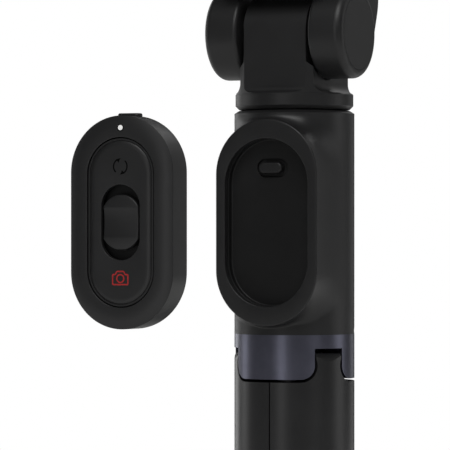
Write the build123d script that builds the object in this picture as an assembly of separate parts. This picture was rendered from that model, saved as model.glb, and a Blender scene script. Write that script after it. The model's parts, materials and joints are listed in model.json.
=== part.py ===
from build123d import *
import os
from math import cos, radians, sin

# Selfie stick that stands on three folding legs, with a remote that docks in its handle.
# Millimetres. +Z runs up the pole, the remote's bay faces -Y, and the head's tilt axis lies along X.
# The origin is on the ground at the middle of the three feet.

# Handle and the remote's bay
BODY_RADIUS = 17.75
BODY_LOW = 81.1
BODY_TOP = 146.9
BODY_WALL = 2.0
TOP_CHAMFER = (1.4, 0.85)
PLATE_LOW = 5.0
PLATE_TOP = 3.0
BAY_Z = 113.9
RIM_FACE_Y = -20.25
RIM = (60.4, 32.4)
RIM_ROUNDING = 0.8
BAY = (49.1, 26.45)
BAY_DEPTH = 4.5
LIP_DEPTH = 2.5
TRAY_WALL = 1.2
CATCH = (3.1, 7.3)
CATCH_MOAT = (5.2, 9.5)
CATCH_Z = BAY_Z + 16.0
CATCH_PROUD = 1.6
CATCH_FLANGE = 1.2
FLOOR_Y = RIM_FACE_Y + BAY_DEPTH

# Leg collar and legs
COLLAR_LOW = 68.1
SLOT_TOP = 77.1
SLOT_HALF = 4.925
TAB_ROUNDING = 4.0
TONGUE_HALF = 4.5
SHOULDER_Z = 67.25
PIVOT_RADIUS = 13.9
PIVOT_Z = 72.8
KNUCKLE_RADIUS = 3.9
KNUCKLE_TOP = 3.0
PIN_RADIUS = 1.0
PIN_HALF_LENGTH = 8.0
LEG_INNER = 10.2
LEG_WALL = 2.0
SEAM_HALF = 0.18
FOOT_HEIGHT = 5.0
LEG_ANGLES = (0.0, 120.0, 240.0)

# Telescopic pole: tube 1 is fixed in the handle and tube 6 carries the head
TUBE_COUNT = 6
TUBE_RADIUS = 9.5
TUBE_STEP = 1.1
TUBE_WALL = 0.45
TUBE_LOW = 30.0
INNER_LOW = 32.2
TUBE_LOW_STEP = 1.3
TUBE_TOP = 145.4
TUBE_TOP_STEP = 1.0
HEAD_SPIGOT_TOP = 158.5
BUSH_UPPER = 7.0
BUSH_LOWER = 6.0
BUSH_FLANGE = 0.6
RUNNING = 0.05

# Neck, tilt hinge and yoke
NECK_LOW = 147.2
NECK_RADIUS = 17.42
NECK_TOP = 152.0
NECK_CHAMFER = (1.07, 1.1)
BLOCK_RADIUS = 17.3
BLOCK_HALF = 11.75
FOOT_FILLET = 3.0
FLAT_FILLET = 1.8
CHEEK_HALF = 10.0
CHEEK_RADIUS = 13.9
BLOCK_BACK = 15.5
HINGE_Y = -3.2
HINGE_Z = 169.6
TONGUE_TOP_RADIUS = 11.1
RECESS_RADIUS = 9.0
RECESS_TOP = 151.2
DRUM_RADIUS = 13.5
DRUM_INNER = 11.4
DRUM_OUTER = 22.2
DRUM_ROUNDING = 2.4
DRUM_INNER_ROUNDING = 1.1
CAP_RADIUS = 11.1
CAP_DEPTH = 1.6
BOLT_RADIUS = 2.5
BOLT_SEAT_RADIUS = 5.2
BOLT_SEAT_DEPTH = 5.2
BOLT_HEAD_DEPTH = 3.0
BOLT_HEAD_RADIUS = 4.8
NUT_RADIUS = 4.6
WASHER_RADIUS = 7.9
WASHER_SEAT = 0.6
ARM_INNER = 14.0
ARM_FRONT_Y = 4.3
ARM_BACK_Y = 10.3
ARM_REAR_Y = 11.9
ARM_BEND = 11.0
ARM_OUTER = 21.9
BRIDGE_CORNER = 9.0
WINDOW_CORNER = 5.0
BOSS_RADIUS = 12.0
PLATE_BOTTOM_Z = 206.0
SWIVEL_Z = 219.0

# Phone clamp
CLAMP_HALF_WIDTH = 14.0
CLAMP_HALF_HEIGHT = 28.0
CLAMP_BACK_Y = 3.9
CLAMP_FRONT_Y = -4.0
COVER_FRONT_Y = -7.0
JAW_HALF_WIDTH = 16.0
JAW_THICKNESS = 5.7
JAW_LIP_Y = -20.0
PAD_THICKNESS = 1.2
JAW_ROUNDING = 3.0
JAW_GAP = 0.3
JAW_LIP = (2.5, 3.0)
JAW_LIP_INSET = 3.0
HOUSING_ROUNDING = 1.5
CAVITY_HALF = 10.2
CAVITY_FLOOR = 2.4
STEM_HALF = 9.0
STEM_THICKNESS = 2.7
STEM_SLOT_HALF = 4.6
STEM_LOW = 13.0
SPRING_TOP = 24.0
SPRING_X = 2.6
SPRING_RADII = (1.4, 0.9)
PEG_RADIUS = 0.6
COVER_SCREW_X = 12.0
COVER_SCREW_INSET = 6.0
COVER_SCREW_HEAD = (1.8, 1.4)
COVER_SCREW_RADIUS = 1.0
PIN_HEAD = (4.0, 1.5)
SWIVEL_NUT = (4.8, 2.8)

# Remote, drawn where it has been lifted clear of the bay
REMOTE_FACE_Y = -113.4
REMOTE = (57.4, 30.6)
CROWN = 0.9
REMOTE_BACK_Y = -103.0
BOSS = (48.5, 25.9)
BOSS_BACK_Y = -98.7
REMOTE_WALL = 1.6
PANEL = (45.25, 19.6)
PANEL_GAP = 0.25
PANEL_THICKNESS = 1.5
KEY_PIVOT_Y = -112.5
KEY_PIVOT_RADIUS = 0.4
ZOOM_WELL = (20.3, 11.5)
ZOOM_KNOB = (14.9, 10.5)
FRAME_Y = (-110.4, -109.4)
BOARD_Y = (-107.4, -106.6)
LED_Z = BAY_Z + 25.4
POWER_KEY = (7.0, 3.0)
POWER_KEY_Y = -107.4
POWER_PROUD = 0.8
CASE_BACK_ROUNDING = 1.2
BOSS_ROUNDING = 0.6
KEY_ROUNDING = 0.5
KNOB_ROUNDING = 0.6
LED_RADIUS = 0.75
SWITCH_OFFSET = 16.0
SWITCH_RADIUS = 1.6
PLUNGER_RADIUS = 1.2
SLIDE_STEM = (5.0, 3.0)
SLIDE_SLOT = (11.0, 3.6)
SLIDE_SWITCH = (8.0, 5.0)
BOARD = (46.0, 23.0)
CELL_RADIUS = 8.0
CELL_THICKNESS = 3.2
CELL_Z = BAY_Z - 6.0
BACK_SCREW_X = 8.0
BACK_SCREW_Z = BAY_Z + 8.0
BACK_SCREW_HEAD = 1.5
BACK_SCREW_RADIUS = 0.7

parts = {}


def cylinder(radius, low, high, x=0.0, y=0.0):
    """An upright cylinder between two heights."""
    return Pos(x, y, (low + high) / 2) * Cylinder(radius, high - low)


def tube(outer, inner, low, high):
    """An upright tube between two heights."""
    return cylinder(outer, low, high) - cylinder(inner, low - 1, high + 1)


def block(x, y, z):
    """A box given by its low and high limits on each axis."""
    centre = Pos((x[0] + x[1]) / 2, (y[0] + y[1]) / 2, (z[0] + z[1]) / 2)
    return centre * Box(x[1] - x[0], y[1] - y[0], z[1] - z[0])


def rod_x(radius, low, high, y, z):
    """A cylinder along X."""
    return Pos((low + high) / 2, y, z) * Rot(0, 90, 0) * Cylinder(radius, high - low)


def rod_y(radius, low, high, x, z):
    """A cylinder along Y."""
    return Pos(x, (low + high) / 2, z) * Rot(90, 0, 0) * Cylinder(radius, high - low)


def obround(size, front, back, z=BAY_Z):
    """A prism of obround section facing -Y. size is its height and width."""
    height, width = size
    section = Rot(0, 0, 90) * SlotOverall(height, width) if height > width else SlotOverall(width, height)
    return extrude(Plane.XZ.offset(-back) * Pos(0, z) * section, back - front)


def grown(size, by):
    """The height and width of an outline moved out by an amount on every side."""
    return size[0] + 2 * by, size[1] + 2 * by


def turned(*points):
    """A solid turned about Z from (radius, height) points."""
    return revolve(Plane.XZ * make_face(Polyline(*points, close=True)), Axis.Z)


def spin(shape, angle):
    """The shape turned about Z."""
    return Rot(0, 0, angle) * shape


def front_edges(shape, y):
    """The edges of a shape that lie in the plane at y."""
    return shape.edges().filter_by_position(Axis.Y, y - 0.01, y + 0.01)


def slot_section(half, low, top, flare_z, flare):
    """An upright slot whose lower corners flare out round two circles, as X and Z."""
    middle_x = SLOT_HALF + TAB_ROUNDING
    section = Pos(0, (low + top) / 2) * Rectangle(2 * half, top - low)
    section += Pos(0, (low + flare_z) / 2) * Rectangle(2 * middle_x, flare_z - low)
    for side in (-1, 1):
        section -= Pos(side * middle_x, flare_z) * Circle(flare)
    return section


def sector(radius, inset, low, high):
    """A third of a cylinder about +Y, with its two flat sides moved in by an inset."""
    apex = inset / sin(radians(60))
    reach = 60.0
    side = (reach * sin(radians(60)), apex + reach * cos(radians(60)))
    wedge = make_face(Polyline((0, apex), side, (0, 3 * reach), (-side[0], side[1]), close=True))
    return cylinder(radius, low, high) & extrude(Plane.XY.offset(low) * wedge, high - low)


def make_handle():
    """The moulded tube with its raised obround rim, the bay's tray and the catch."""
    chamfer_radial, chamfer_axial = TOP_CHAMFER
    shell = turned(
        (0, BODY_LOW),
        (BODY_RADIUS, BODY_LOW),
        (BODY_RADIUS, BODY_TOP - chamfer_axial),
        (BODY_RADIUS - chamfer_radial, BODY_TOP),
        (0, BODY_TOP),
    )
    rim = obround(RIM, RIM_FACE_Y, -2.0)
    rim = fillet(front_edges(rim, RIM_FACE_Y), RIM_ROUNDING)
    shell += rim
    inner = BODY_RADIUS - BODY_WALL
    shell -= cylinder(inner, BODY_LOW + PLATE_LOW, BODY_TOP - PLATE_TOP)
    shell -= cylinder(TUBE_RADIUS + RUNNING, BODY_LOW - 1, BODY_TOP + 1)
    lip_back = RIM_FACE_Y + LIP_DEPTH
    shell -= obround(grown(BAY, TRAY_WALL + 0.1), lip_back, -11.0)
    shell -= obround(BAY, RIM_FACE_Y - 1, lip_back + 1)
    for angle in LEG_ANGLES:
        hole = cylinder(0.8, BODY_LOW - 1, BODY_LOW + PLATE_LOW - 1, y=PIVOT_RADIUS)
        shell -= spin(hole, angle)
    parts["body_shell"] = shell

    tray_back = FLOOR_Y + TRAY_WALL
    tray = obround(grown(BAY, TRAY_WALL), lip_back, tray_back)
    tray -= obround(grown(BAY, -0.15), lip_back - 1, FLOOR_Y)
    tray -= obround(CATCH_MOAT, FLOOR_Y - 1, FLOOR_Y + 0.7, CATCH_Z)
    tray -= obround(grown(CATCH, 0.08), FLOOR_Y - 1, tray_back + 1, CATCH_Z)
    parts["dock_tray"] = tray

    catch = obround(CATCH, FLOOR_Y - CATCH_PROUD, tray_back + 0.6, CATCH_Z)
    catch = fillet(front_edges(catch, FLOOR_Y - CATCH_PROUD), 0.4)
    catch += obround(grown(CATCH, 0.7), tray_back + 0.1, tray_back + CATCH_FLANGE, CATCH_Z)
    parts["dock_catch"] = catch
    spring_front = tray_back + CATCH_FLANGE + 0.02
    spring_back = -TUBE_RADIUS - 0.3
    spring = rod_y(1.3, spring_front, spring_back, 0, CATCH_Z)
    parts["catch_spring"] = spring - rod_y(0.8, spring_front - 1, spring_back + 1, 0, CATCH_Z)


def make_collar():
    """The band under the handle, with three tabs that carry the legs' pivot pins."""
    collar = cylinder(BODY_RADIUS, COLLAR_LOW, BODY_LOW) - cylinder(LEG_INNER, 0, SLOT_TOP)
    collar -= cylinder(TUBE_RADIUS + RUNNING, SLOT_TOP - 1, BODY_LOW + 1)
    flare_z = COLLAR_LOW + TAB_ROUNDING
    slot = Plane.XZ * slot_section(SLOT_HALF, COLLAR_LOW - 10, SLOT_TOP, flare_z, TAB_ROUNDING)
    slot = Pos(0, 30, 0) * extrude(slot, 26)
    pins = None
    screws = None
    for angle in LEG_ANGLES:
        collar -= spin(slot, angle)
        pin = spin(rod_x(PIN_RADIUS, -PIN_HALF_LENGTH, PIN_HALF_LENGTH, PIVOT_RADIUS, PIVOT_Z), angle)
        collar -= pin
        pins = pin if pins is None else pins + pin
        collar -= spin(cylinder(1.7, SLOT_TOP - 1, SLOT_TOP + 1.5, y=PIVOT_RADIUS), angle)
        collar -= spin(cylinder(0.8, SLOT_TOP, BODY_LOW + 1, y=PIVOT_RADIUS), angle)
        screw = cylinder(1.6, SLOT_TOP + 0.1, SLOT_TOP + 1.5, y=PIVOT_RADIUS)
        screw += cylinder(0.8, SLOT_TOP + 1.4, BODY_LOW + PLATE_LOW - 1.5, y=PIVOT_RADIUS)
        screw -= Pos(0, PIVOT_RADIUS, SLOT_TOP) * Rot(0, 0, 90) * Box(2.0, 0.5, 1.4)
        screw = spin(screw, angle)
        screws = screw if screws is None else screws + screw
    parts["leg_collar"] = collar
    parts["leg_pins"] = pins
    parts["collar_screws"] = screws


def make_legs():
    """Three channel legs with rubber feet, hung from their tongues."""
    flare_z = COLLAR_LOW + TAB_ROUNDING
    flare = TAB_ROUNDING + COLLAR_LOW - SHOULDER_Z
    top = PIVOT_Z + KNUCKLE_TOP
    front = Plane.XZ * slot_section(TONGUE_HALF, SHOULDER_Z - 5, top, flare_z, flare)
    front = Pos(0, 30, 0) * extrude(front, 30)
    knuckle = rod_x(KNUCKLE_RADIUS, -10, 10, PIVOT_RADIUS, PIVOT_Z)
    knuckle += block((-10, 10), (PIVOT_RADIUS - KNUCKLE_RADIUS, BODY_RADIUS + 1), (SHOULDER_Z - 5, PIVOT_Z))
    head = cylinder(BODY_RADIUS, SHOULDER_Z - 5, top) & front & knuckle
    leg = sector(BODY_RADIUS, SEAM_HALF, FOOT_HEIGHT, SHOULDER_Z) + head
    leg -= cylinder(LEG_INNER, 0, SHOULDER_Z)
    channel_top = SHOULDER_Z - 6
    leg -= sector(BODY_RADIUS - LEG_WALL, SEAM_HALF + LEG_WALL, FOOT_HEIGHT, channel_top)
    leg -= rod_x(PIN_RADIUS + RUNNING, -20, 20, PIVOT_RADIUS, PIVOT_Z)
    foot = sector(BODY_RADIUS, SEAM_HALF, 0, FOOT_HEIGHT)
    foot += sector(BODY_RADIUS - LEG_WALL, SEAM_HALF + LEG_WALL, FOOT_HEIGHT, FOOT_HEIGHT + 4)
    foot -= cylinder(LEG_INNER, -1, FOOT_HEIGHT + 5)
    for number, angle in enumerate(LEG_ANGLES, 1):
        parts[f"leg_{number}"] = spin(leg, angle)
        parts[f"foot_{number}"] = spin(foot, angle)


def tube_size(number):
    """A pole tube's outer radius, lower end and upper end."""
    step = number - 1
    radius = TUBE_RADIUS - TUBE_STEP * step
    low = TUBE_LOW if number == 1 else INNER_LOW + TUBE_LOW_STEP * step
    top = HEAD_SPIGOT_TOP if number == TUBE_COUNT else TUBE_TOP + TUBE_TOP_STEP * step
    return radius, low, top


def make_pole():
    """Six nested tubes. Each has a bush in its mouth, and each sliding one a bush round its foot."""
    for number in range(1, TUBE_COUNT + 1):
        radius, low, top = tube_size(number)
        parts[f"pole_tube_{number}"] = tube(radius, radius - TUBE_WALL, low, top)
        bushes = None
        if number < TUBE_COUNT:
            next_radius = tube_size(number + 1)[0] + RUNNING
            bushes = tube(radius - TUBE_WALL, next_radius, top - BUSH_UPPER, top)
            bushes += tube(radius, next_radius, top, top + BUSH_FLANGE)
        if number > 1:
            outer_bore = tube_size(number - 1)[0] - TUBE_WALL - RUNNING
            lower = tube(outer_bore, radius, low, low + BUSH_LOWER)
            bushes = lower if bushes is None else bushes + lower
        parts[f"pole_bushes_{number}"] = bushes
    plug = cylinder(TUBE_RADIUS, TUBE_LOW - 1.5, TUBE_LOW)
    parts["base_plug"] = plug + cylinder(TUBE_RADIUS - TUBE_WALL, TUBE_LOW, TUBE_LOW + 3)


def tongue_side(low):
    """The tongue seen from the side: an arc over the hinge, a flat front with an arc foot, a sloped back."""
    front_y = HINGE_Y - TONGUE_TOP_RADIUS
    back_y = HINGE_Y + TONGUE_TOP_RADIUS
    slope = Polyline(
        (front_y, low),
        (front_y, HINGE_Z),
        (back_y, HINGE_Z),
        (back_y, HINGE_Z - 5),
        (BLOCK_BACK, NECK_TOP + 1.5),
        (BLOCK_BACK, low),
        close=True,
    )
    foot_top = NECK_TOP + FLAT_FILLET
    foot = Pos(front_y - FLAT_FILLET / 2, (low + foot_top) / 2) * Rectangle(FLAT_FILLET, foot_top - low)
    foot -= Pos(front_y - FLAT_FILLET, foot_top) * Circle(FLAT_FILLET)
    return make_face(slope) + Pos(HINGE_Y, HINGE_Z) * Circle(TONGUE_TOP_RADIUS) + foot


def make_neck():
    """The collar ring and the tongue block that the yoke tilts on."""
    chamfer_radial, chamfer_axial = NECK_CHAMFER
    ring = turned(
        (0, NECK_LOW),
        (NECK_RADIUS - chamfer_radial, NECK_LOW),
        (NECK_RADIUS, NECK_LOW + chamfer_axial),
        (NECK_RADIUS, NECK_TOP - 0.4),
        (NECK_RADIUS - 0.4, NECK_TOP),
        (0, NECK_TOP),
    )
    low = NECK_TOP - 1
    foot_x = BLOCK_HALF + FOOT_FILLET
    foot_z = NECK_TOP + FOOT_FILLET
    front = Pos(0, (low + HINGE_Z + 20) / 2) * Rectangle(2 * BLOCK_HALF, HINGE_Z + 20 - low)
    front += Pos(0, (low + foot_z) / 2) * Rectangle(2 * foot_x, foot_z - low)
    for side in (-1, 1):
        front -= Pos(side * foot_x, foot_z) * Circle(FOOT_FILLET)
    tongue = extrude(Plane.XZ.offset(-30) * front, 60)
    tongue &= extrude(Plane.YZ.offset(-30) * tongue_side(low), 60)
    tongue &= cylinder(BLOCK_RADIUS, low, HINGE_Z + 20)
    for side in (-1, 1):
        cheek_x = sorted((side * CHEEK_HALF, side * 30))
        tongue -= rod_x(CHEEK_RADIUS, cheek_x[0], cheek_x[1], HINGE_Y, HINGE_Z)
    neck = ring + tongue
    neck -= cylinder(RECESS_RADIUS, NECK_LOW - 1, RECESS_TOP)
    neck -= cylinder(tube_size(TUBE_COUNT)[0] + RUNNING, RECESS_TOP - 1, HEAD_SPIGOT_TOP + 0.5)
    neck -= rod_x(BOLT_RADIUS + RUNNING, -20, 20, HINGE_Y, HINGE_Z)
    parts["neck_block"] = neck


def drum(side):
    """One drum of the yoke, with its outer and inner rims rounded."""
    shape = rod_x(DRUM_RADIUS, DRUM_INNER, DRUM_OUTER, HINGE_Y, HINGE_Z)
    outer = shape.edges().filter_by_position(Axis.X, DRUM_OUTER - 0.1, DRUM_OUTER + 0.1)
    shape = fillet(outer, DRUM_ROUNDING)
    inner = shape.edges().filter_by_position(Axis.X, DRUM_INNER - 0.1, DRUM_INNER + 0.1)
    shape = fillet(inner, DRUM_INNER_ROUNDING)
    return shape if side > 0 else mirror(shape, Plane.YZ)


def arm():
    """One arm, which leaves the back of its drum in a curve and then rises straight."""
    foot_z, bend_z, top_z = HINGE_Z - 3, HINGE_Z + ARM_BEND, PLATE_BOTTOM_Z + 6
    drum_back = HINGE_Y + DRUM_RADIUS
    foot_y = drum_back - 2.5
    back = Spline(
        (foot_y, foot_z),
        (drum_back - 0.9, HINGE_Z + 1.5),
        (drum_back + 0.4, HINGE_Z + 5),
        (ARM_REAR_Y, bend_z),
        tangents=[(0.35, 1), (0, 1)],
    )
    rest = Polyline(
        (ARM_REAR_Y, bend_z),
        (ARM_REAR_Y, top_z),
        (ARM_FRONT_Y, top_z),
        (ARM_FRONT_Y, foot_z),
        (foot_y, foot_z),
    )
    return extrude(Plane.YZ.offset(ARM_INNER) * make_face([back, rest]), ARM_OUTER - ARM_INNER)


def yoke_frame():
    """The bridge between the arms, with a boss for the swivel pin."""
    half = ARM_OUTER
    section = Pos(0, (PLATE_BOTTOM_Z - 10 + SWIVEL_Z) / 2) * Rectangle(2 * half, SWIVEL_Z + 10 - PLATE_BOTTOM_Z)
    for side in (-1, 1):
        corner = Pos(side * (half - BRIDGE_CORNER / 2), SWIVEL_Z - BRIDGE_CORNER / 2)
        section -= corner * Rectangle(BRIDGE_CORNER, BRIDGE_CORNER)
        section += Pos(side * (half - BRIDGE_CORNER), SWIVEL_Z - BRIDGE_CORNER) * Circle(BRIDGE_CORNER)
    window = Pos(0, PLATE_BOTTOM_Z - 20) * RectangleRounded(2 * ARM_INNER, 40, WINDOW_CORNER)
    section -= window
    section += Pos(0, SWIVEL_Z) * Circle(BOSS_RADIUS)
    return extrude(Plane.XZ.offset(-ARM_BACK_Y) * section, ARM_BACK_Y - ARM_FRONT_Y)


def make_yoke():
    """Two drums, the arms behind them and the swivel plate, with the tilt bolt and its caps."""
    yoke = drum(1) + drum(-1)
    yoke += arm() + mirror(arm(), Plane.YZ)
    yoke += yoke_frame()
    yoke -= rod_y(BOLT_RADIUS + RUNNING, ARM_FRONT_Y - 1, ARM_BACK_Y + 1, 0, SWIVEL_Z)
    yoke -= rod_x(BOLT_RADIUS, -30, 30, HINGE_Y, HINGE_Z)
    caps = None
    washers = None
    head_x = DRUM_OUTER - BOLT_SEAT_DEPTH
    for side in (-1, 1):
        pocket = rod_x(CAP_RADIUS, DRUM_OUTER - CAP_DEPTH, DRUM_OUTER + 1, HINGE_Y, HINGE_Z)
        seat = rod_x(BOLT_SEAT_RADIUS, head_x, DRUM_OUTER, HINGE_Y, HINGE_Z)
        washer_seat = rod_x(WASHER_RADIUS + 0.1, DRUM_INNER - 1, DRUM_INNER + WASHER_SEAT, HINGE_Y, HINGE_Z)
        cut = pocket + seat + washer_seat
        cap = rod_x(CAP_RADIUS - 0.1, DRUM_OUTER - CAP_DEPTH, DRUM_OUTER, HINGE_Y, HINGE_Z)
        washer = rod_x(WASHER_RADIUS, CHEEK_HALF + RUNNING, DRUM_INNER + WASHER_SEAT, HINGE_Y, HINGE_Z)
        washer -= rod_x(BOLT_RADIUS + RUNNING, 0, 30, HINGE_Y, HINGE_Z)
        if side < 0:
            cut, cap, washer = (mirror(shape, Plane.YZ) for shape in (cut, cap, washer))
        yoke -= cut
        caps = cap if caps is None else caps + cap
        washers = washer if washers is None else washers + washer
    parts["yoke"] = yoke
    parts["drum_caps"] = caps
    parts["friction_washers"] = washers
    bolt = rod_x(BOLT_RADIUS, -head_x - BOLT_HEAD_DEPTH, head_x, HINGE_Y, HINGE_Z)
    bolt += rod_x(BOLT_HEAD_RADIUS, head_x, head_x + BOLT_HEAD_DEPTH, HINGE_Y, HINGE_Z)
    parts["hinge_bolt"] = bolt
    nut_plane = Plane.YZ.offset(-head_x - BOLT_HEAD_DEPTH)
    nut_section = nut_plane * Pos(HINGE_Y, HINGE_Z) * RegularPolygon(NUT_RADIUS, 6)
    nut = extrude(nut_section, BOLT_HEAD_DEPTH)
    parts["hinge_nut"] = nut - rod_x(BOLT_RADIUS, -30, 0, HINGE_Y, HINGE_Z)


def jaw_bar(low, high):
    """A phone clamp jaw's crossbar with its rounded ends and front lip."""
    bar = block((-JAW_HALF_WIDTH, JAW_HALF_WIDTH), (JAW_LIP_Y, CLAMP_BACK_Y), (low, high))
    ends = bar.edges().filter_by(Axis.Z)
    return fillet(ends, JAW_ROUNDING)


def jaw_lip(low):
    """The upstand along a jaw's front edge."""
    thickness, height = JAW_LIP
    half = JAW_HALF_WIDTH - JAW_LIP_INSET
    return block((-half, half), (JAW_LIP_Y, JAW_LIP_Y + thickness), (low, low + height))


def make_housing(low, high):
    """The clamp's housing with its lower jaw, its cover and the cover's screws."""
    wide = (-CLAMP_HALF_WIDTH, CLAMP_HALF_WIDTH)
    housing = block(wide, (CLAMP_FRONT_Y, CLAMP_BACK_Y), (low, high))
    housing = fillet(housing.edges().filter_by(Axis.Z), HOUSING_ROUNDING)
    cavity_y = (CLAMP_FRONT_Y - 1, CLAMP_BACK_Y - CAVITY_FLOOR)
    housing -= block((-CAVITY_HALF, CAVITY_HALF), cavity_y, (low + 3, high - 3))
    mouth = STEM_HALF + JAW_GAP
    mouth_y = (CLAMP_FRONT_Y - 1, CLAMP_FRONT_Y + STEM_THICKNESS + 2 * JAW_GAP)
    housing -= block((-mouth, mouth), mouth_y, (high - 4, high + 1))
    housing += jaw_bar(low - JAW_THICKNESS, low)
    housing += jaw_lip(low)
    housing -= rod_y(BOLT_RADIUS, -20, 20, 0, SWIVEL_Z)
    cover = block(wide, (COVER_FRONT_Y, CLAMP_FRONT_Y), (low, high))
    front = cover.edges().filter_by(Axis.Z)
    front = front.filter_by_position(Axis.Y, COVER_FRONT_Y - 0.1, COVER_FRONT_Y + 0.1)
    cover = fillet(front, HOUSING_ROUNDING)
    head_radius, head_depth = COVER_SCREW_HEAD
    screws = None
    for x in (-COVER_SCREW_X, COVER_SCREW_X):
        for z in (low + COVER_SCREW_INSET, high - COVER_SCREW_INSET):
            seat_y = COVER_FRONT_Y + head_depth
            cover -= rod_y(head_radius + 0.1, COVER_FRONT_Y - 1, seat_y, x, z)
            cover -= rod_y(COVER_SCREW_RADIUS, COVER_FRONT_Y, CLAMP_FRONT_Y + 1, x, z)
            housing -= rod_y(COVER_SCREW_RADIUS, CLAMP_FRONT_Y - 1, CLAMP_FRONT_Y + 5, x, z)
            screw = rod_y(head_radius, COVER_FRONT_Y + 0.2, seat_y, x, z)
            screw += rod_y(COVER_SCREW_RADIUS, seat_y - 0.1, CLAMP_FRONT_Y + 4.5, x, z)
            screws = screw if screws is None else screws + screw
    parts["clamp_back"] = housing
    parts["clamp_cover"] = cover
    parts["cover_screws"] = screws


def make_swivel():
    """The pin that the clamp swivels on, and its nut."""
    seat_y = CLAMP_BACK_Y - CAVITY_FLOOR
    head_radius, head_depth = PIN_HEAD
    pin = rod_y(BOLT_RADIUS, seat_y, ARM_BACK_Y + 3, 0, SWIVEL_Z)
    parts["swivel_pin"] = pin + rod_y(head_radius, seat_y - head_depth, seat_y, 0, SWIVEL_Z)
    nut_radius, nut_depth = SWIVEL_NUT
    nut = Plane.XZ.offset(-ARM_BACK_Y - 3) * Pos(0, SWIVEL_Z) * RegularPolygon(nut_radius, 6)
    parts["swivel_nut"] = extrude(nut, nut_depth) - rod_y(BOLT_RADIUS, 0, 20, 0, SWIVEL_Z)


def make_clamp():
    """The phone clamp: a housing that swivels on the yoke, and a sprung upper jaw on a stem."""
    low, high = SWIVEL_Z - CLAMP_HALF_HEIGHT, SWIVEL_Z + CLAMP_HALF_HEIGHT
    make_housing(low, high)
    make_swivel()
    jaw_low = high + JAW_GAP
    stem_low, spring_high = SWIVEL_Z - STEM_LOW, SWIVEL_Z + SPRING_TOP
    stem_y = (CLAMP_FRONT_Y + JAW_GAP, CLAMP_FRONT_Y + JAW_GAP + STEM_THICKNESS)
    stem = block((-STEM_HALF, STEM_HALF), stem_y, (stem_low, jaw_low + 1))
    slot_y = (stem_y[0] - 1, stem_y[1] + 1)
    stem -= block((-STEM_SLOT_HALF, STEM_SLOT_HALF), slot_y, (stem_low - 1, spring_high))
    parts["upper_jaw"] = jaw_bar(jaw_low, jaw_low + JAW_THICKNESS) + jaw_lip(jaw_low - JAW_LIP[1]) + stem
    spring_low = low + 5.0
    spring_y = CLAMP_FRONT_Y + 1.6
    outer, inner = SPRING_RADII
    springs = None
    pegs = None
    for x in (-SPRING_X, SPRING_X):
        spring = cylinder(outer, spring_low, spring_high, x, spring_y)
        spring -= cylinder(inner, spring_low - 1, spring_high + 1, x, spring_y)
        springs = spring if springs is None else springs + spring
        peg = cylinder(PEG_RADIUS, low + 3, spring_low + 4, x, spring_y)
        pegs = peg if pegs is None else pegs + peg
    parts["clamp_springs"] = springs
    parts["spring_pegs"] = pegs
    pad_y = (JAW_LIP_Y + JAW_LIP[0] + 0.1, COVER_FRONT_Y - 0.2)
    pad_x = (-JAW_HALF_WIDTH + 2, JAW_HALF_WIDTH - 2)
    parts["upper_pad"] = block(pad_x, pad_y, (jaw_low - PAD_THICKNESS, jaw_low))
    parts["lower_pad"] = block(pad_x, pad_y, (low, low + PAD_THICKNESS))


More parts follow.
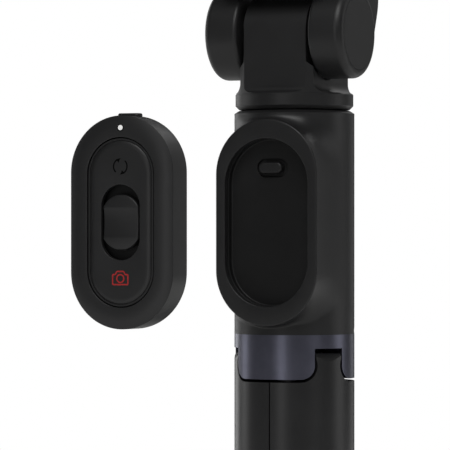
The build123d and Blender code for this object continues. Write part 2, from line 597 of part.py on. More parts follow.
def make_remote():
    """The remote's case, its keys and what it holds inside."""
    crease_y = REMOTE_FACE_Y + CROWN
    shell = obround(REMOTE, crease_y, REMOTE_BACK_Y)
    shell = fillet(front_edges(shell, REMOTE_BACK_Y), CASE_BACK_ROUNDING)
    shell -= obround(grown(REMOTE, -REMOTE_WALL), crease_y - 1, REMOTE_BACK_Y - REMOTE_WALL)
    shell -= obround(grown(BOSS, -2.2), REMOTE_BACK_Y - 3, REMOTE_BACK_Y + 1)
    top = BAY_Z + REMOTE[0] / 2
    slot = Plane.XY.offset(top - 6) * Pos(0, POWER_KEY_Y) * SlotOverall(POWER_KEY[0] + 0.3, POWER_KEY[1] + 0.3)
    shell -= extrude(slot, 10)
    parts["remote_shell"] = shell

    face = obround(REMOTE, REMOTE_FACE_Y, crease_y)
    face = fillet(front_edges(face, REMOTE_FACE_Y), CROWN - 0.1)
    face += obround(grown(REMOTE, -REMOTE_WALL - 0.05), crease_y - 0.1, crease_y + 0.8)
    face -= obround(grown(PANEL, PANEL_GAP), REMOTE_FACE_Y - 1, crease_y + 2)
    face -= rod_y(LED_RADIUS, REMOTE_FACE_Y - 1, crease_y + 2, 0, LED_Z)
    pivot_reach = PANEL[1] / 2 + 1.0
    face -= rod_x(KEY_PIVOT_RADIUS + RUNNING, -pivot_reach, pivot_reach, KEY_PIVOT_Y, BAY_Z)
    parts["remote_face"] = face
    parts["led_lens"] = rod_y(LED_RADIUS - 0.02, REMOTE_FACE_Y + 0.02, crease_y + 1.5, 0, LED_Z)

    panel_back = REMOTE_FACE_Y + PANEL_THICKNESS
    panel = obround(PANEL, REMOTE_FACE_Y + 0.05, panel_back)
    panel = fillet(front_edges(panel, REMOTE_FACE_Y + 0.05), KEY_ROUNDING)
    panel -= obround(ZOOM_WELL, REMOTE_FACE_Y - 1, panel_back + 1)
    for side in (-1, 1):
        panel += rod_y(PLUNGER_RADIUS, panel_back - 0.1, FRAME_Y[0] - 0.8, 0, BAY_Z + side * SWITCH_OFFSET)
    pivot_x = PANEL[1] / 2
    for side in (-1, 1):
        low, high = sorted((side * (pivot_x - 1), side * (pivot_x + 0.9)))
        panel += rod_x(KEY_PIVOT_RADIUS, low, high, KEY_PIVOT_Y, BAY_Z)
    parts["key_panel"] = panel

    knob = obround(ZOOM_KNOB, REMOTE_FACE_Y + 0.1, FRAME_Y[0] - 0.15)
    knob = fillet(front_edges(knob, REMOTE_FACE_Y + 0.1), KNOB_ROUNDING)
    knob += obround(SLIDE_STEM, FRAME_Y[0] - 0.2, FRAME_Y[1] + 0.9)
    parts["zoom_slider"] = knob

    frame = obround(grown(REMOTE, -REMOTE_WALL - 0.3), FRAME_Y[0], FRAME_Y[1])
    frame -= obround(SLIDE_SLOT, FRAME_Y[0] - 1, FRAME_Y[1] + 1)
    notch_z = (top - 6.5, top + 1)
    frame -= block((-4.2, 4.2), (FRAME_Y[0] - 1, FRAME_Y[1] + 1), notch_z)
    for side in (-1, 1):
        frame -= rod_y(SWITCH_RADIUS + 0.4, FRAME_Y[0] - 1, FRAME_Y[1] + 1, 0, BAY_Z + side * SWITCH_OFFSET)
    parts["inner_frame"] = frame

    parts["circuit_board"] = obround(BOARD, BOARD_Y[0], BOARD_Y[1])
    switches = None
    for side in (-1, 1):
        switch = rod_y(SWITCH_RADIUS, FRAME_Y[0] + 0.2, BOARD_Y[0], 0, BAY_Z + side * SWITCH_OFFSET)
        switches = switch if switches is None else switches + switch
    parts["key_switches"] = switches
    parts["zoom_switch"] = obround(SLIDE_SWITCH, BOARD_Y[0] - 0.9, BOARD_Y[0])
    cell_y = BOARD_Y[1] + 0.3
    parts["coin_cell"] = rod_y(CELL_RADIUS, cell_y, cell_y + CELL_THICKNESS, 0, CELL_Z)

    back = obround(BOSS, REMOTE_BACK_Y, BOSS_BACK_Y)
    back = fillet(front_edges(back, BOSS_BACK_Y), BOSS_ROUNDING)
    back += obround(grown(BOSS, -2.3), REMOTE_BACK_Y - 1.6, REMOTE_BACK_Y + 1)
    back -= obround(grown(BOSS, -3.8), REMOTE_BACK_Y - 3, BOSS_BACK_Y - 2.4)
    back -= rod_y(CELL_RADIUS + 0.4, REMOTE_BACK_Y - 3, BOSS_BACK_Y - 1.4, 0, CELL_Z)
    back -= obround(grown(CATCH, 0.3), BOSS_BACK_Y - 1.9, BOSS_BACK_Y + 1, CATCH_Z)
    screws = None
    for side in (-1, 1):
        x = side * BACK_SCREW_X
        back -= rod_y(BACK_SCREW_HEAD + 0.1, BOSS_BACK_Y - 1.2, BOSS_BACK_Y + 1, x, BACK_SCREW_Z)
        back -= rod_y(BACK_SCREW_RADIUS, REMOTE_BACK_Y - 2, BOSS_BACK_Y, x, BACK_SCREW_Z)
        screw = rod_y(BACK_SCREW_HEAD, BOSS_BACK_Y - 1.2, BOSS_BACK_Y - 0.2, x, BACK_SCREW_Z)
        screw += rod_y(BACK_SCREW_RADIUS, BOSS_BACK_Y - 3.2, BOSS_BACK_Y - 1.1, x, BACK_SCREW_Z)
        screws = screw if screws is None else screws + screw
    parts["remote_back"] = back
    parts["back_screws"] = screws

    section = Plane.XY.offset(top - 3.4) * Pos(0, POWER_KEY_Y) * SlotOverall(*POWER_KEY)
    key = extrude(section, 3.4 + POWER_PROUD - 0.1)
    key = fillet(key.edges().filter_by_position(Axis.Z, top + POWER_PROUD - 0.2, top + POWER_PROUD), 0.5)
    flange = Plane.XY.offset(top - 4.2) * Pos(0, POWER_KEY_Y) * Rectangle(6.0, 2.4)
    parts["power_button"] = key + extrude(flange, 1.0)


make_handle()
make_collar()
make_legs()
make_pole()
make_neck()
make_yoke()
make_clamp()
make_remote()

os.makedirs("parts", exist_ok=True)
for name, shape in parts.items():
    export_step(Compound(children=list(shape.solids())) if len(shape.solids()) > 1 else shape.solids()[0],
                f"parts/{name}.step")
    print(name, len(shape.solids()), round(shape.volume, 1))
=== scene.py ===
import json
from math import asin, cos, hypot, pi, radians, sin, sqrt

import bmesh
import bpy
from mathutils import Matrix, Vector


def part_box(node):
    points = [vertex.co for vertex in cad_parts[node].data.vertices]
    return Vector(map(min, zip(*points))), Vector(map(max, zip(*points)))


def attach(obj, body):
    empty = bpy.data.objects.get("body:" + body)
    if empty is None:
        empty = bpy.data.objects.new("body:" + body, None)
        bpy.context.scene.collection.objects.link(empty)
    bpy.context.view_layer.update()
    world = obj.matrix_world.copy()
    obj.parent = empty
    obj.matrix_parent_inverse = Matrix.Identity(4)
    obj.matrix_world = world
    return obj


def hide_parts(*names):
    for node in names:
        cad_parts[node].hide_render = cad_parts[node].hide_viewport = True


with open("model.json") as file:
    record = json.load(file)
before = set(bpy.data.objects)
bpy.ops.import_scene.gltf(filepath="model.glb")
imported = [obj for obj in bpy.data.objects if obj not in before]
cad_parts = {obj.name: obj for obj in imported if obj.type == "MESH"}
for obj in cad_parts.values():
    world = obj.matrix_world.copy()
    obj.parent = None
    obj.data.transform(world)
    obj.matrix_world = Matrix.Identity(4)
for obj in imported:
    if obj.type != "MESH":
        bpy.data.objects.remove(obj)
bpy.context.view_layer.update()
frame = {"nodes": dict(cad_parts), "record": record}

# ---------------------------------------------------------------------------------------------
# Sizes, in millimetres, worked out from the frame
# ---------------------------------------------------------------------------------------------
MM = 1000.0


def limits(node):
    """A CAD node's lowest and highest corner in millimetres."""
    low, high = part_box(node)
    return low * MM, high * MM


BODY_LOW, BODY_TOP = limits("body_shell")[0].z, limits("body_shell")[1].z
BODY_RADIUS = limits("body_shell")[1].x
RIM_FACE_Y = limits("body_shell")[0].y
TRAY_LOW, TRAY_HIGH = limits("dock_tray")
BAY_Z = (TRAY_LOW.z + TRAY_HIGH.z) / 2
BORE_RADIUS = limits("pole_tube_1")[1].x + 0.05
CATCH_LOW, CATCH_HIGH = limits("dock_catch")
CATCH_Z = (CATCH_LOW.z + CATCH_HIGH.z) / 2
FACE_LOW = limits("remote_face")[0]
CASE_LOW, CASE_HIGH = limits("remote_shell")
BOSS_LOW, BOSS_HIGH = limits("remote_back")
PANEL_LOW, PANEL_HIGH = limits("key_panel")
KNOB_LOW, KNOB_HIGH = limits("zoom_slider")
LED_LOW, LED_HIGH = limits("led_lens")

RIM = (60.4, 32.4)
BAY = (49.1, 26.45)
LIP_DEPTH = 2.5
BAY_DEPTH = 4.5
REMOTE = (CASE_HIGH.z - CASE_LOW.z, CASE_HIGH.x - CASE_LOW.x)
PANEL = (PANEL_HIGH.z - PANEL_LOW.z, 19.6)
BOSS = (BOSS_HIGH.z - BOSS_LOW.z, BOSS_HIGH.x - BOSS_LOW.x)


# ---------------------------------------------------------------------------------------------
# Materials
# ---------------------------------------------------------------------------------------------
def new_material(name):
    """A new material, and its shader node."""
    material = bpy.data.materials.new(name)
    material.use_nodes = True
    shader = material.node_tree.nodes["Principled BSDF"]
    return material, shader


def add(tree, kind, **sockets):
    """A node with some of its inputs set."""
    node = tree.nodes.new(kind)
    for name, value in sockets.items():
        node.inputs[name.replace("_", " ")].default_value = value
    return node


def surface_grain(tree, shader, scale, strength, distance):
    """Fine moulded grain as bump, over a soft wide unevenness."""
    place = add(tree, "ShaderNodeTexCoord")
    grain = add(tree, "ShaderNodeTexNoise", Scale=scale, Detail=3.0, Roughness=0.6)
    wide = add(tree, "ShaderNodeTexNoise", Scale=scale / 60, Detail=2.0)
    tree.links.new(place.outputs["Object"], grain.inputs["Vector"])
    tree.links.new(place.outputs["Object"], wide.inputs["Vector"])
    bump = add(tree, "ShaderNodeBump", Strength=strength, Distance=distance)
    tree.links.new(grain.outputs["Fac"], bump.inputs["Height"])
    tree.links.new(bump.outputs["Normal"], shader.inputs["Normal"])
    return grain, wide


def mapped(tree, source, low, high):
    """The source's 0.3 to 0.7 spread out over low to high."""
    node = tree.nodes.new("ShaderNodeMapRange")
    node.inputs["From Min"].default_value = 0.3
    node.inputs["From Max"].default_value = 0.7
    node.inputs["To Min"].default_value = low
    node.inputs["To Max"].default_value = high
    tree.links.new(source, node.inputs["Value"])
    return node.outputs["Result"]


def tinted(tree, source, dark, light):
    """A colour that runs from dark to light with the source."""
    ramp = tree.nodes.new("ShaderNodeValToRGB")
    ramp.color_ramp.elements[0].position = 0.3
    ramp.color_ramp.elements[1].position = 0.7
    ramp.color_ramp.elements[0].color = (*dark, 1)
    ramp.color_ramp.elements[1].color = (*light, 1)
    tree.links.new(source, ramp.inputs["Fac"])
    return ramp.outputs["Color"]


def plastic(name, dark, light, rough=(0.38, 0.5), grain=9000.0, bump=0.12, metallic=0.0, level=0.5):
    """Moulded plastic: fine grain, and slight unevenness in tone and gloss."""
    material, shader = new_material(name)
    tree = material.node_tree
    fine, wide = surface_grain(tree, shader, grain, bump, 0.00002)
    tree.links.new(tinted(tree, wide.outputs["Fac"], dark, light), shader.inputs["Base Color"])
    tree.links.new(mapped(tree, fine.outputs["Fac"], *rough), shader.inputs["Roughness"])
    shader.inputs["Metallic"].default_value = metallic
    shader.inputs["Specular IOR Level"].default_value = level
    return material


def brushed(name, dark, light, rough=(0.22, 0.36)):
    """Turned or brushed metal: fine rings stretched round the part."""
    material, shader = new_material(name)
    tree = material.node_tree
    place = add(tree, "ShaderNodeTexCoord")
    stretch = add(tree, "ShaderNodeMapping")
    stretch.inputs["Scale"].default_value = (400.0, 400.0, 20000.0)
    tree.links.new(place.outputs["Object"], stretch.inputs["Vector"])
    lines = add(tree, "ShaderNodeTexNoise", Scale=1.0, Detail=4.0)
    tree.links.new(stretch.outputs["Vector"], lines.inputs["Vector"])
    bump = add(tree, "ShaderNodeBump", Strength=0.15, Distance=0.00002)
    tree.links.new(lines.outputs["Fac"], bump.inputs["Height"])
    tree.links.new(bump.outputs["Normal"], shader.inputs["Normal"])
    tree.links.new(tinted(tree, lines.outputs["Fac"], dark, light), shader.inputs["Base Color"])
    tree.links.new(mapped(tree, lines.outputs["Fac"], *rough), shader.inputs["Roughness"])
    shader.inputs["Metallic"].default_value = 1.0
    return material


MATERIALS = {
    "black_plastic": plastic("black_satin", (0.012, 0.012, 0.0125), (0.015, 0.015, 0.0155)),
    # The bay's plastic is darker than the handle's: painted shade inside the recess.
    "bay_plastic": plastic("bay_painted_shade", (0.004, 0.004, 0.0042), (0.0058, 0.0058, 0.006), rough=(0.5, 0.62),
                           level=0.4),
    "collar_paint": plastic("collar_blue_grey", (0.12, 0.122, 0.16), (0.14, 0.142, 0.185), rough=(0.29, 0.35),
                            grain=14000.0, bump=0.15, metallic=0.9),
    "rubber": plastic("rubber_matt", (0.011, 0.011, 0.011), (0.017, 0.017, 0.017), rough=(0.6, 0.8),
                      grain=5000.0, bump=0.4),
    "steel": brushed("plated_steel", (0.5, 0.5, 0.51), (0.62, 0.62, 0.63)),
    "leg_plastic": plastic("leg_gloss", (0.012, 0.012, 0.0125), (0.015, 0.015, 0.0155), rough=(0.3, 0.38)),
    # The inner frame, seen down the slider's well, is near black: painted shade in that hollow.
    "well_shade_plastic": plastic("well_painted_shade", (0.003, 0.003, 0.003), (0.005, 0.005, 0.005), rough=(0.5, 0.6),
                            level=0.3),
    "tube_paint": brushed("tube_black", (0.03, 0.03, 0.032), (0.045, 0.045, 0.048)),
    "nylon": plastic("nylon_black", (0.02, 0.02, 0.02), (0.028, 0.028, 0.028), rough=(0.5, 0.6)),
    "remote_plastic": plastic("remote_satin", (0.0125, 0.0125, 0.013), (0.0155, 0.0155, 0.016)),
    "key_plastic": plastic("key_satin", (0.0115, 0.0115, 0.012), (0.0145, 0.0145, 0.015), rough=(0.4, 0.5)),
    "inner_plastic": plastic("inner_grey", (0.04, 0.04, 0.04), (0.055, 0.055, 0.055)),
    "board": plastic("solder_mask", (0.01, 0.09, 0.035), (0.02, 0.13, 0.05), rough=(0.25, 0.35)),
    "cell_steel": brushed("cell_steel", (0.6, 0.6, 0.62), (0.75, 0.75, 0.77)),
    "led": plastic("led_lens", (0.85, 0.85, 0.84), (0.95, 0.95, 0.94), rough=(0.3, 0.4)),
    "print_red": plastic("print_red", (0.42, 0.022, 0.022), (0.5, 0.03, 0.03), rough=(0.5, 0.6), level=0.3),
    "print_black": plastic("print_black", (0.001, 0.001, 0.001), (0.002, 0.002, 0.002), rough=(0.8, 0.9),
                           level=0.05),
}
# The status light's white lens gets a little emission: painted glow that stands in for light on the lens.
LED_PAINTED_GLOW = 0.25
lens_glow_shader = MATERIALS["led"].node_tree.nodes["Principled BSDF"]
lens_glow_shader.inputs["Emission Color"].default_value = (1.0, 1.0, 0.98, 1.0)
lens_glow_shader.inputs["Emission Strength"].default_value = LED_PAINTED_GLOW

# Each CAD node has its slot's material, except the legs, which are glossier, and the inner frame, which is
# near black as painted shade in the slider's well.
SLOT_OF = {row["node"]: row["material_slot"] for row in frame["record"]["subparts"]}
LOOK_OF = {f"leg_{n}": "leg_plastic" for n in (1, 2, 3)}
LOOK_OF["inner_frame"] = "well_shade_plastic"
for node, thing in frame["nodes"].items():
    thing.data.materials.clear()
    thing.data.materials.append(MATERIALS[LOOK_OF.get(node, SLOT_OF[node])])

# ---------------------------------------------------------------------------------------------
# Camera, floor and light
# ---------------------------------------------------------------------------------------------
CAMERA_DISTANCE = 1.080
CAMERA_AZIMUTH = 24.3
CAMERA_HEIGHT = 0.1132
PAN = 1.09
LENS = 291.9
SENSOR = 36.0


def make_camera():
    """A long lens level with the handle, from the front and a little to the right."""
    data = bpy.data.cameras.new("camera")
    data.lens = LENS
    data.sensor_width = SENSOR
    camera = bpy.data.objects.new("camera", data)
    bpy.context.collection.objects.link(camera)
    around = radians(CAMERA_AZIMUTH)
    camera.location = (CAMERA_DISTANCE * sin(around), -CAMERA_DISTANCE * cos(around), CAMERA_HEIGHT)
    camera.rotation_euler = (pi / 2, 0, radians(CAMERA_AZIMUTH + PAN))
    bpy.context.scene.camera = camera


def area_light(name, place, target, size, energy):
    """A soft box aimed at a point."""
    data = bpy.data.lights.new(name, "AREA")
    data.shape = "RECTANGLE"
    data.size, data.size_y = size
    data.energy = energy
    light = bpy.data.objects.new(name, data)
    bpy.context.collection.objects.link(light)
    light.visible_camera = False
    light.location = place
    light.rotation_euler = (Vector(target) - Vector(place)).to_track_quat("-Z", "Y").to_euler()


def make_studio():
    """A pale floor that fades to a white room, and soft boxes round the object."""
    world = bpy.data.worlds.new("room")
    bpy.context.scene.world = world
    world.use_nodes = True
    tree = world.node_tree
    room = tree.nodes["Background"]
    room.inputs["Color"].default_value = (1, 1, 1, 1)
    room.inputs["Strength"].default_value = 0.045
    seen = add(tree, "ShaderNodeBackground")
    seen.inputs["Color"].default_value = (1, 1, 1, 1)
    path = add(tree, "ShaderNodeLightPath")
    mix = add(tree, "ShaderNodeMixShader")
    tree.links.new(path.outputs["Is Camera Ray"], mix.inputs[0])
    tree.links.new(room.outputs[0], mix.inputs[1])
    tree.links.new(seen.outputs[0], mix.inputs[2])
    tree.links.new(mix.outputs[0], tree.nodes["World Output"].inputs["Surface"])

    bpy.ops.mesh.primitive_circle_add(vertices=128, radius=0.5, fill_type="NGON")
    floor = bpy.context.object
    floor.name = "floor"
    floor.location.z = -0.0002
    material, shader = new_material("floor_pale")
    tree = material.node_tree
    place = add(tree, "ShaderNodeTexCoord")
    length = add(tree, "ShaderNodeVectorMath")
    length.operation = "LENGTH"
    tree.links.new(place.outputs["Object"], length.inputs[0])
    fade = add(tree, "ShaderNodeMapRange")
    fade.inputs["From Min"].default_value = 0.2
    fade.inputs["From Max"].default_value = 0.48
    tree.links.new(length.outputs["Value"], fade.inputs["Value"])
    shader.inputs["Base Color"].default_value = (0.86, 0.86, 0.85, 1)
    shader.inputs["Roughness"].default_value = 0.9
    glow = add(tree, "ShaderNodeEmission")
    glow.inputs["Color"].default_value = (1, 1, 1, 1)
    mix = add(tree, "ShaderNodeMixShader")
    tree.links.new(fade.outputs["Result"], mix.inputs[0])
    tree.links.new(shader.outputs[0], mix.inputs[1])
    tree.links.new(glow.outputs[0], mix.inputs[2])
    tree.links.new(mix.outputs[0], tree.nodes["Material Output"].inputs["Surface"])
    floor.data.materials.append(material)

    middle = (0, -0.02, 0.12)
    strip = (0.25, 0.9)
    area_light("back_left", (-0.77, 0.47, 0.15), middle, strip, 1.3)
    area_light("left", (-0.9, -0.07, 0.15), middle, strip, 1.1)
    area_light("front_left", (-0.01, -0.95, 0.15), middle, (0.2, 0.8), 0.85)
    area_light("front_high", (0.25, -0.6, 0.9), middle, (0.6, 0.4), 4.2)
    area_light("right_front", (0.81, -0.39, 0.15), middle, (0.3, 0.8), 0.2)
    area_light("right", (0.78, 0.44, 0.15), middle, (0.3, 0.9), 0.9)
    area_light("back_right", (0.17, 0.88, 0.15), middle, strip, 0.3)
    area_light("top_back", (0.1, 0.6, 0.8), middle, (0.6, 0.4), 2.6)



# ---------------------------------------------------------------------------------------------
# Mesh building, in millimetres
# ---------------------------------------------------------------------------------------------
SHARP_ANGLE = radians(32)
ARC_STEPS = 64
SIDE_STEPS = 16


def finish_piece(bm, name, body, slot, replaces=(), merge=0.0001, look=None):
    """Turns a bmesh into an object that rides on a body, smooth except at its sharp edges."""
    bmesh.ops.remove_doubles(bm, verts=bm.verts, dist=merge)
    bmesh.ops.recalc_face_normals(bm, faces=bm.faces)
    for face in bm.faces:
        face.smooth = True
    for edge in bm.edges:
        if len(edge.link_faces) == 2:
            edge.smooth = edge.calc_face_angle(0) < SHARP_ANGLE
    bmesh.ops.scale(bm, vec=(1 / MM,) * 3, verts=bm.verts)
    mesh = bpy.data.meshes.new(name)
    bm.to_mesh(mesh)
    bm.free()
    piece = bpy.data.objects.new(name, mesh)
    bpy.context.collection.objects.link(piece)
    piece.data.materials.append(MATERIALS[look or slot])
    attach(piece, body)
    if replaces:
        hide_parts(*replaces)
    return piece


def add_rings(bm, rings, cap_first=False, cap_last=False):
    """Quads between rings of the same number of points. Returns the rings' vertices."""
    rows = [[bm.verts.new(point) for point in ring] for ring in rings]
    for one, two in zip(rows, rows[1:]):
        for i in range(len(one)):
            j = (i + 1) % len(one)
            bm.faces.new((one[i], one[j], two[j], two[i]))
    if cap_first:
        bm.faces.new(rows[0])
    if cap_last:
        bm.faces.new(rows[-1][::-1])
    return rows


def arc(centre, radius, start, end, steps=6):
    """Points round part of a circle or ellipse, between two angles in degrees."""
    across, along = radius if isinstance(radius, tuple) else (radius, radius)
    angles = (radians(start + (end - start) * i / steps) for i in range(steps + 1))
    return [(centre[0] + across * cos(a), centre[1] + along * sin(a)) for a in angles]


def outline(size, grow=0.0):
    """Points and outward normals, as x and z, round an obround whose height is more than its width."""
    height, width = size
    half = (height - width) / 2
    radius = width / 2 + grow
    points = []
    for side in (1, -1):
        for i in range(SIDE_STEPS):
            along = -half + 2 * half * i / SIDE_STEPS
            points.append((side * radius, side * along, side, 0.0))
        for i in range(ARC_STEPS):
            a = pi * i / ARC_STEPS
            place = (side * radius * cos(a), side * (half + radius * sin(a)))
            points.append((*place, side * cos(a), side * sin(a)))
    return points


def obround_ring(size, grow, y, z=BAY_Z):
    """A ring of points round an obround at one depth."""
    return [(x, y, z + up) for x, up, _, _ in outline(size, grow)]


def obround_rings(size, profile, z=BAY_Z):
    """Rings for a profile of (grow, y) swept round an obround."""
    return [obround_ring(size, grow, y, z) for grow, y in profile]


def ray_ring(size, grow, y, z, through):
    """A ring round a wide obround, with each point on the ray from its middle through a given point."""
    height, width = size
    half = (width - height) / 2
    radius = height / 2 + grow
    ring = []
    for px, _, pz in through:
        length = hypot(px, pz - z)
        dx, dz = px / length, (pz - z) / length
        low, high = 0.0, width
        for _ in range(40):
            middle = (low + high) / 2
            inside = hypot(max(abs(dx * middle) - half, 0), dz * middle) < radius
            low, high = (middle, high) if inside else (low, middle)
        ring.append((dx * low, y, z + dz * low))
    return ring


def smoothstep(value):
    """A smooth rise from 0 to 1."""
    value = min(max(value, 0.0), 1.0)
    return value * value * (3 - 2 * value)


# ---------------------------------------------------------------------------------------------
# Handle: the moulded tube with its raised rim, and the bay
# ---------------------------------------------------------------------------------------------
RIM_EDGE = 0.45
LIP_EDGE = 0.3
BLEND_STEPS = 20
WRAP_ROWS = 26
TOP_CHAMFER = (1.4, 0.85)


def cylinder_y(x):
    """The handle's front surface at a given x."""
    return -sqrt(max(BODY_RADIUS ** 2 - x * x, 0.0))


def blend_size(x, z, nx, nz):
    """How far the blend round the rim spreads out, and how far up its wall it reaches."""
    wall = cylinder_y(x) - (RIM_FACE_Y + RIM_EDGE)
    if nz > 0:
        want = 1.5 + 3.4 * smoothstep(nz / 0.6)
    else:
        want = 1.5 + 2.0 * smoothstep(-nz / 0.5) - 2.6 * smoothstep((-nz - 0.7) / 0.3)
    up_room = (BODY_TOP - TOP_CHAMFER[1] - 0.35 - z) / max(nz, 0.001)
    low_room = (z - BODY_LOW - 0.3) / max(-nz, 0.001)
    side_room = (BODY_RADIUS - 0.1 - abs(x)) / max(abs(nx), 0.001)
    return max(min(want, up_room, low_room, side_room), 0.2), 0.97 * wall


def handle_rings():
    """Rings from the bay's lip, over the rim and down its wall, then out along the cylinder."""
    lip_back = RIM_FACE_Y + LIP_DEPTH
    rings = [obround_ring(BAY, 1.0, lip_back), obround_ring(BAY, 0.0, lip_back)]
    rings += obround_rings(BAY, arc((LIP_EDGE, RIM_FACE_Y + LIP_EDGE), LIP_EDGE, 180, 270))
    rings += obround_rings(RIM, arc((-RIM_EDGE, RIM_FACE_Y + RIM_EDGE), RIM_EDGE, -90, 0))
    edge = outline(RIM)
    for step in range(BLEND_STEPS + 1):
        turn = radians(90 * step / BLEND_STEPS)
        ring = []
        for x, up, nx, nz in edge:
            spread, reach = blend_size(x, BAY_Z + up, nx, nz)
            out = spread * (1 - cos(turn))
            px = x + nx * out
            ring.append((px, cylinder_y(px) - reach * (1 - sin(turn)), BAY_Z + up + nz * out))
        rings.append(ring)
    half_turn = pi * BODY_RADIUS
    top = BODY_TOP - TOP_CHAMFER[1] - BAY_Z
    low = BODY_LOW - BAY_Z
    flat = [(BODY_RADIUS * asin(x / BODY_RADIUS), z - BAY_Z) for x, _, z in rings[-1]]
    for row in range(1, WRAP_ROWS + 1):
        t = (row / WRAP_ROWS) ** 1.25
        ring = []
        for u, v in flat:
            reach = min(half_turn / max(abs(u), 1e-9), top / v if v > 0 else low / min(v, -1e-9))
            pu, pv = u * (1 + (reach - 1) * t), v * (1 + (reach - 1) * t)
            turn = pu / BODY_RADIUS
            ring.append((BODY_RADIUS * sin(turn), -BODY_RADIUS * cos(turn), BAY_Z + pv))
        rings.append(ring)
    return rings


def run_inwards(bm, height, steps):
    """Carries the open edge at a height on through (radius, z) steps."""
    edges = [e for e in bm.edges if e.is_boundary and all(abs(v.co.z - height) < 0.001 for v in e.verts)]
    for radius, z in steps:
        made = bmesh.ops.extrude_edge_only(bm, edges=edges)["geom"]
        edges = [g for g in made if isinstance(g, bmesh.types.BMEdge) and g.is_boundary]
        moved = {v for e in edges for v in e.verts}
        for v in moved:
            scale = radius / hypot(v.co.x, v.co.y)
            v.co = (v.co.x * scale, v.co.y * scale, z)
        edges = [e for e in edges if all(v in moved for v in e.verts)]


def make_handle():
    """The handle's outer skin."""
    bm = bmesh.new()
    add_rings(bm, handle_rings())
    bmesh.ops.remove_doubles(bm, verts=bm.verts, dist=0.0001)
    radial, axial = TOP_CHAMFER
    run_inwards(bm, BODY_TOP - axial, (
        (BODY_RADIUS - 0.08, BODY_TOP - axial + 0.03),
        (BODY_RADIUS - 0.2, BODY_TOP - axial + 0.1),
        (BODY_RADIUS - radial + 0.1, BODY_TOP - 0.06),
        (BODY_RADIUS - radial - 0.05, BODY_TOP),
        (BORE_RADIUS, BODY_TOP),
        (BORE_RADIUS, BODY_TOP - 3),
    ))
    run_inwards(bm, BODY_LOW, (
        (BODY_RADIUS - 0.12, BODY_LOW),
        (BORE_RADIUS, BODY_LOW),
        (BORE_RADIUS, BODY_LOW + 3),
    ))
    finish_piece(bm, "handle_skin", "handle", "black_plastic", ["body_shell"])


def make_bay():
    """The cup in the bay, with the sunken ring round the catch, and the catch itself."""
    lip_back = RIM_FACE_Y + LIP_DEPTH
    floor = RIM_FACE_Y + BAY_DEPTH
    moat, moat_depth = (5.2, 9.5), 0.7
    peg = (CATCH_HIGH.z - CATCH_LOW.z - 1.4, CATCH_HIGH.x - CATCH_LOW.x - 1.4)
    profile = [(0.9, lip_back), (-0.04, lip_back), (-0.15, lip_back + 0.11)]
    profile += arc((-0.6, floor - 0.45), 0.45, 0, 90, 10)
    rings = obround_rings(BAY, profile)
    outer = rings[-1]
    for grow, y in arc((0.25, floor + 0.25), 0.25, -90, -180) + [(0.0, floor + moat_depth)]:
        rings.append(ray_ring(moat, grow, y, CATCH_Z, outer))
    rings.append(ray_ring(peg, 0.08, floor + moat_depth, CATCH_Z, outer))
    rings.append(ray_ring(peg, 0.08, TRAY_HIGH.y, CATCH_Z, outer))
    bm = bmesh.new()
    add_rings(bm, rings)
    finish_piece(bm, "bay_cup", "handle", "bay_plastic", ["dock_tray"])

    bm = bmesh.new()
    profile = [(0.0, CATCH_HIGH.y), (0.0, CATCH_LOW.y + 0.45)]
    profile += arc((-0.45, CATCH_LOW.y + 0.45), 0.45, 0, -90, 8)
    rings = [ray_ring(peg, grow, y, CATCH_Z, outer) for grow, y in profile]
    add_rings(bm, rings, cap_first=True, cap_last=True)
    finish_piece(bm, "catch_peg", "catch", "bay_plastic", ["dock_catch"], look="key_plastic")


# ---------------------------------------------------------------------------------------------
# Remote
# ---------------------------------------------------------------------------------------------
FACE_Y = FACE_LOW.y
CROWN = 0.9
CROWN_WIDTH = 4.4
CROWN_POWER = 2.3
CREASE_Y = FACE_Y + CROWN
SEAM = 0.09
WELL = (20.3, 11.5)
PANEL_GAP = 0.25


def make_remote_case():
    """The remote's face ring, side wall and back boss."""
    steps = [i / 14 for i in range(15)]
    crown = [(-CROWN_WIDTH * (1 - t), FACE_Y + (CROWN - SEAM) * t ** CROWN_POWER) for t in steps]
    rings = obround_rings(PANEL, [(PANEL_GAP, FACE_Y + 1.6)])
    rings += obround_rings(PANEL, arc((PANEL_GAP + 0.14, FACE_Y + 0.14), 0.14, 180, 270))
    rings += obround_rings(REMOTE, crown + [(-0.1, CREASE_Y - SEAM / 3), (-1.0, CREASE_Y)])
    bm = bmesh.new()
    add_rings(bm, rings)
    finish_piece(bm, "face_ring", "remote", "remote_plastic", ["remote_face"])

    back = CASE_HIGH.y
    edge = 1.3
    profile = [(-1.0, CREASE_Y), (-0.1, CREASE_Y + SEAM / 3), (0.0, CREASE_Y + SEAM), (0.0, CREASE_Y + 3.0)]
    profile += arc((-edge, back - edge), edge, 0, 90, 10)
    rings = obround_rings(REMOTE, profile)
    rings += obround_rings(BOSS, [(0.25, back), (0.12, back + 0.15), (-0.4, back + 0.15)])
    bm = bmesh.new()
    add_rings(bm, rings)
    finish_piece(bm, "case_wall", "remote", "remote_plastic", ["remote_shell"])


def panel_profile():
    """The key plate's edge: a narrow lip, a fine crease and a rounded step up to the flat."""
    lip, flat = FACE_Y + 0.3, FACE_Y + 0.06
    profile = [(0.0, FACE_Y + 1.5), (0.0, lip + 0.12), (-0.1, lip), (-0.5, lip)]
    profile += [(-0.55, lip + 0.28), (-0.72, lip + 0.28)]
    profile += arc((-0.74 - 1.5, lip + 0.26), (1.5, lip + 0.26 - flat), 0, -90, 14)
    return profile


def make_panel():
    """The rocking key plate round the zoom slider's well."""
    rings = obround_rings(PANEL, panel_profile())
    flat = rings[-1][0][1]
    rings += obround_rings(WELL, arc((0.16, flat + 0.16), 0.16, -90, -180))
    rings += obround_rings(WELL, [(0.0, FACE_Y + 1.5)])
    bm = bmesh.new()
    add_rings(bm, rings)
    finish_piece(bm, "key_plate", "key_panel", "key_plastic", ["key_panel"])
    return flat


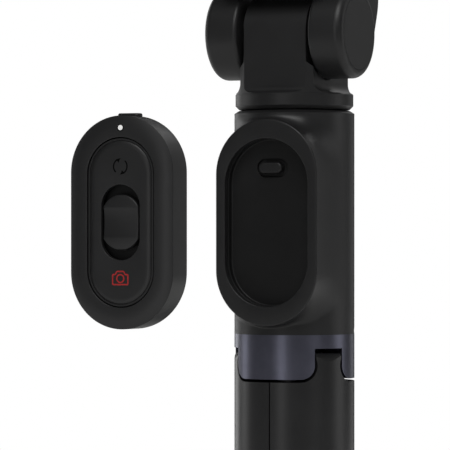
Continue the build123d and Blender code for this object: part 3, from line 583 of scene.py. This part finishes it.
def knob_half_width(z):
    """Half the zoom slider's width at a height from its middle."""
    half_height, straight, half_width = (KNOB_HIGH.z - KNOB_LOW.z) / 2, 4.3, (KNOB_HIGH.x - KNOB_LOW.x) / 2
    if abs(z) <= straight:
        return half_width
    rise = half_height - straight
    radius = (half_width ** 2 + rise ** 2) / (2 * rise)
    return sqrt(max(radius ** 2 - (abs(z) - half_height + radius) ** 2, 0.0))


def knob_top(z):
    """The slider's front surface: a thumb dish between two gently falling ends."""
    dish_half, dish_depth, fall = 4.0, 0.38, 0.3
    front = KNOB_LOW.y + 0.05
    if abs(z) <= dish_half:
        return front + dish_depth * (1 - (z / dish_half) ** 2)
    return front + fall * ((abs(z) - dish_half) / 3.4) ** 1.5


def make_knob():
    """The zoom slider, as rows across it from bottom to top."""
    half_height = (KNOB_HIGH.z - KNOB_LOW.z) / 2
    edge, rows, edge_steps = 0.45, 72, 6
    heights = [-half_height * cos(pi * i / rows) for i in range(rows + 1)]
    heights = sorted(heights + [-4.0, 4.0])
    foot = KNOB_HIGH.y - 0.8
    bm = bmesh.new()
    lines = []
    for z in heights:
        wide = max(knob_half_width(z), 0.02)
        near_end = half_height - abs(z)
        droop = 0.0 if near_end >= edge else edge - sqrt(edge ** 2 - (edge - near_end) ** 2)
        side = min(edge, wide)
        half = [(wide, foot), (wide, knob_top(z) + droop + edge)]
        for i in range(1, edge_steps + 1):
            a = radians(90 * i / edge_steps)
            half.append((wide - side * (1 - cos(a)), knob_top(z) + droop + edge * (1 - sin(a))))
        line = [(x, min(y, foot), BAY_Z + z) for x, y in half]
        line += [(-x, y, z2) for x, y, z2 in line[::-1]]
        lines.append([bm.verts.new(p) for p in line])
    for one, two in zip(lines, lines[1:]):
        for i in range(len(one) - 1):
            bm.faces.new((one[i], one[i + 1], two[i + 1], two[i]))
    finish_piece(bm, "zoom_knob", "zoom_slider", "key_plastic", ["zoom_slider"])


def stroke(bm, path, width, y, closed):
    """A thin flat ribbon along a path of x and z points."""
    count = len(path)
    sides = []
    for i, (x, z) in enumerate(path):
        before = path[(i - 1) % count] if closed or i > 0 else path[i]
        after = path[(i + 1) % count] if closed or i < count - 1 else path[i]
        tx, tz = after[0] - before[0], after[1] - before[1]
        length = hypot(tx, tz)
        nx, nz = -tz / length * width / 2, tx / length * width / 2
        sides.append((bm.verts.new((x + nx, y, z + nz)), bm.verts.new((x - nx, y, z - nz))))
    for i in range(count if closed else count - 1):
        (a, b), (c, d) = sides[i], sides[(i + 1) % count]
        bm.faces.new((a, b, d, c))


def rounded(corners, radius, steps=5):
    """A closed path through corners, each turned with an arc-like curve."""
    path = []
    for i, corner in enumerate(corners):
        here = Vector(corner)
        before, after = Vector(corners[i - 1]), Vector(corners[(i + 1) % len(corners)])
        start = here + (before - here).normalized() * radius
        end = here + (after - here).normalized() * radius
        for k in range(steps + 1):
            t = k / steps
            path.append(tuple(start * (1 - t) ** 2 + here * 2 * t * (1 - t) + end * t * t))
    return path


def make_camera_symbol(y):
    """A plain outline of a camera."""
    width, height, line = 4.95, 3.9, 0.38
    middle = BAY_Z - 14.9
    left, right, low = -width / 2 + line / 2, width / 2 - line / 2, middle - height / 2 + line / 2
    high = middle + height / 2 - line / 2
    shoulder = high - 0.85
    body = [(left, low), (right, low), (right, shoulder), (1.5, shoulder), (1.0, high), (-1.0, high),
            (-1.5, shoulder), (left, shoulder)]
    bm = bmesh.new()
    stroke(bm, rounded(body, 0.28), line, y, True)
    lens = [(1.06 * cos(2 * pi * i / 40), middle - 0.15 + 1.06 * sin(2 * pi * i / 40)) for i in range(40)]
    stroke(bm, lens, line, y, True)
    finish_piece(bm, "camera_symbol", "key_panel", "key_plastic", look="print_red")


def make_arrows_symbol(y):
    """Two arrows that chase each other round."""
    middle, radius, line = BAY_Z + 15.0, 2.02, 0.38
    bm = bmesh.new()
    for turn in (0, 180):
        path = []
        for i in range(29):
            a = radians(turn + 120 + 108 * i / 28)
            path.append((radius * cos(a), middle + radius * sin(a)))
        stroke(bm, path, line, y, False)
        head = [(radius + 0.2, 86), (radius + 0.28, 124), (radius - 0.92, 116), (radius - 0.35, 100)]
        corners = []
        for reach, angle in head:
            a = radians(turn + angle)
            corners.append((reach * cos(a), middle + reach * sin(a)))
        bm.faces.new([bm.verts.new((x, y - 0.002, z)) for x, z in corners])
    finish_piece(bm, "arrows_symbol", "key_panel", "key_plastic", look="print_black")


def face_depth(x, z):
    """The remote's face at a point in its upper part."""
    height, width = REMOTE
    grow = hypot(x, z - BAY_Z - (height - width) / 2) - width / 2
    t = max((grow + CROWN_WIDTH) / CROWN_WIDTH, 0.0)
    return FACE_Y + (CROWN - SEAM) * t ** CROWN_POWER


def disc(bm, radii, lifts, z, steps=32):
    """Rings of a small disc laid on the remote's face."""
    rings = []
    for radius, lift in zip(radii, lifts):
        ring = []
        for i in range(steps):
            a = 2 * pi * i / steps
            x, up = radius * cos(a), z + radius * sin(a)
            ring.append((x, max(face_depth(x, up) - lift, FACE_Y), up))
        rings.append(ring)
    add_rings(bm, rings, cap_last=True)


def make_light():
    """The status light: a frosted lens in a dark ring."""
    z = (LED_LOW.z + LED_HIGH.z) / 2
    bm = bmesh.new()
    disc(bm, (1.0, 0.98, 0.7), (-0.01, 0.012, 0.012), z)
    finish_piece(bm, "light_ring", "remote", "remote_plastic", look="print_black")
    bm = bmesh.new()
    disc(bm, (0.72, 0.68, 0.45, 0.2), (0.01, 0.02, 0.035, 0.04), z)
    finish_piece(bm, "light_lens", "remote", "led", ["led_lens"])


make_camera()
make_studio()
make_handle()
make_bay()
make_remote_case()
panel_front = make_panel()
make_camera_symbol(panel_front - 0.015)
make_arrows_symbol(panel_front - 0.015)
make_light()
make_knob()
bpy.context.scene.view_settings.view_transform = "Standard"
